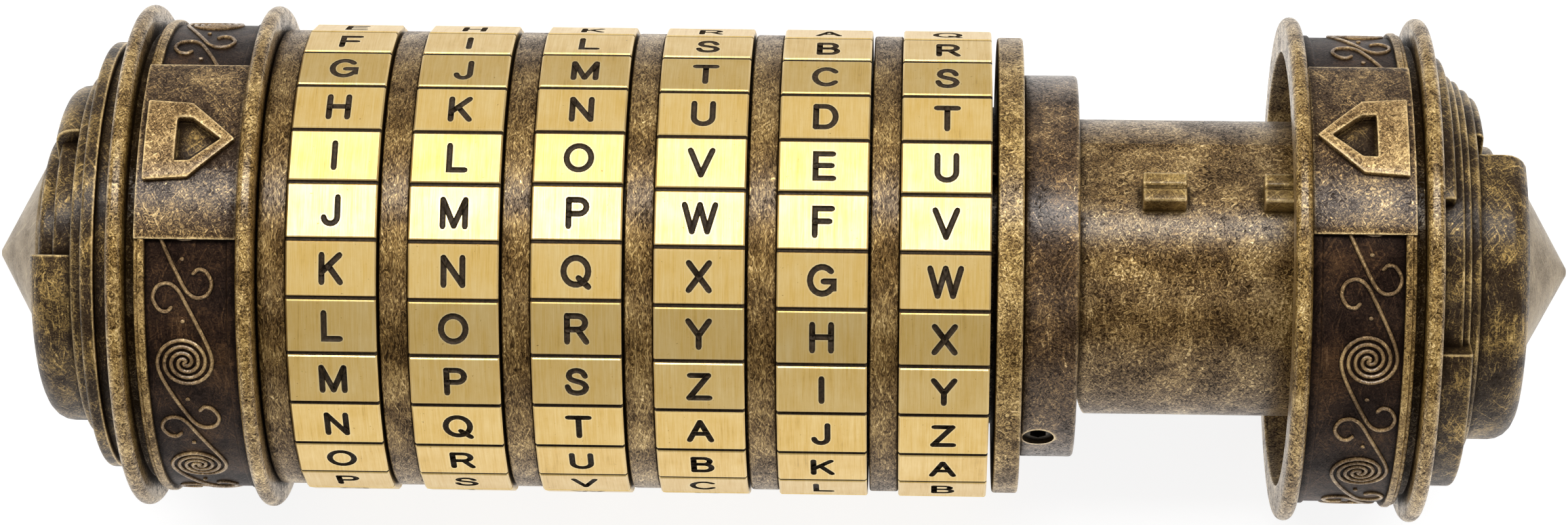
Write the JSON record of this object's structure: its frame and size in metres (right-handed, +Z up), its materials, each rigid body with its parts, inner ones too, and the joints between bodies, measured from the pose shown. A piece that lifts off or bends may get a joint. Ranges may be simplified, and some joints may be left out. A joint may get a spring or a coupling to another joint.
{
  "type": "cryptex",
  "caption": "Cylindrical letter-dial puzzle box in aged bronze and brass: turning dials on a slotted sleeve release a sliding chamber with lugs, shown open.",
  "frame": {"origin": "on the surface that the cryptex lies on, under the middle of its open length", "axes": "+X along the axis from the fixed cap to the sliding cap, +Z up from the axis to the reading line, -Y the side of the dials that faces the reader"},
  "size_m": [0.15, 0.048, 0.048],
  "materials": {
    "aged_bronze": "aged, rubbed bright on the edges",
    "dark_bronze": "dark patina in the ground, relief rubbed bright",
    "gold_bronze": "satin, lightly aged",
    "brushed_brass": "brushed, letters filled dark",
    "black_steel": "blackened"
  },
  "bodies": {
    "case": {"fixed_cap": "aged_bronze", "fixed_band": "dark_bronze", "fixed_rosette": "aged_bronze", "fixed_finial": "gold_bronze", "guide_sleeve": "aged_bronze", "end_disc": "aged_bronze", "locking_collar": "aged_bronze", "grub_screws": "black_steel"},
    "chamber": {"sliding_cap": "aged_bronze", "sliding_band": "dark_bronze", "sliding_rosette": "aged_bronze", "sliding_finial": "gold_bronze", "chamber_tube": "aged_bronze"},
    "dial_1": {"code_ring_1": "aged_bronze", "letter_ring_1": "brushed_brass"},
    "dial_2": {"code_ring_2": "aged_bronze", "letter_ring_2": "brushed_brass"},
    "dial_3": {"code_ring_3": "aged_bronze", "letter_ring_3": "brushed_brass"},
    "dial_4": {"code_ring_4": "aged_bronze", "letter_ring_4": "brushed_brass"},
    "dial_5": {"code_ring_5": "aged_bronze", "letter_ring_5": "brushed_brass"},
    "dial_6": {"code_ring_6": "aged_bronze", "letter_ring_6": "brushed_brass"}
  },
  "joints": [
    {"name": "chamber_slide", "type": "slide", "parent": "case", "child": "chamber", "axis": [1, 0, 0], "range_m": [-0.0245, 0.052]},
    {"name": "dial_1_turn", "type": "hinge", "parent": "case", "child": "dial_1", "pos_m": [-0.04177, 0, 0.024], "axis": [1, 0, 0], "continuous": true},
    {"name": "dial_2_turn", "type": "hinge", "parent": "case", "child": "dial_2", "pos_m": [-0.03053, 0, 0.024], "axis": [1, 0, 0], "continuous": true},
    {"name": "dial_3_turn", "type": "hinge", "parent": "case", "child": "dial_3", "pos_m": [-0.01928, 0, 0.024], "axis": [1, 0, 0], "continuous": true},
    {"name": "dial_4_turn", "type": "hinge", "parent": "case", "child": "dial_4", "pos_m": [-0.00802, 0, 0.024], "axis": [1, 0, 0], "continuous": true},
    {"name": "dial_5_turn", "type": "hinge", "parent": "case", "child": "dial_5", "pos_m": [0.00323, 0, 0.024], "axis": [1, 0, 0], "continuous": true},
    {"name": "dial_6_turn", "type": "hinge", "parent": "case", "child": "dial_6", "pos_m": [0.01448, 0, 0.024], "axis": [1, 0, 0], "continuous": true}
  ]
}
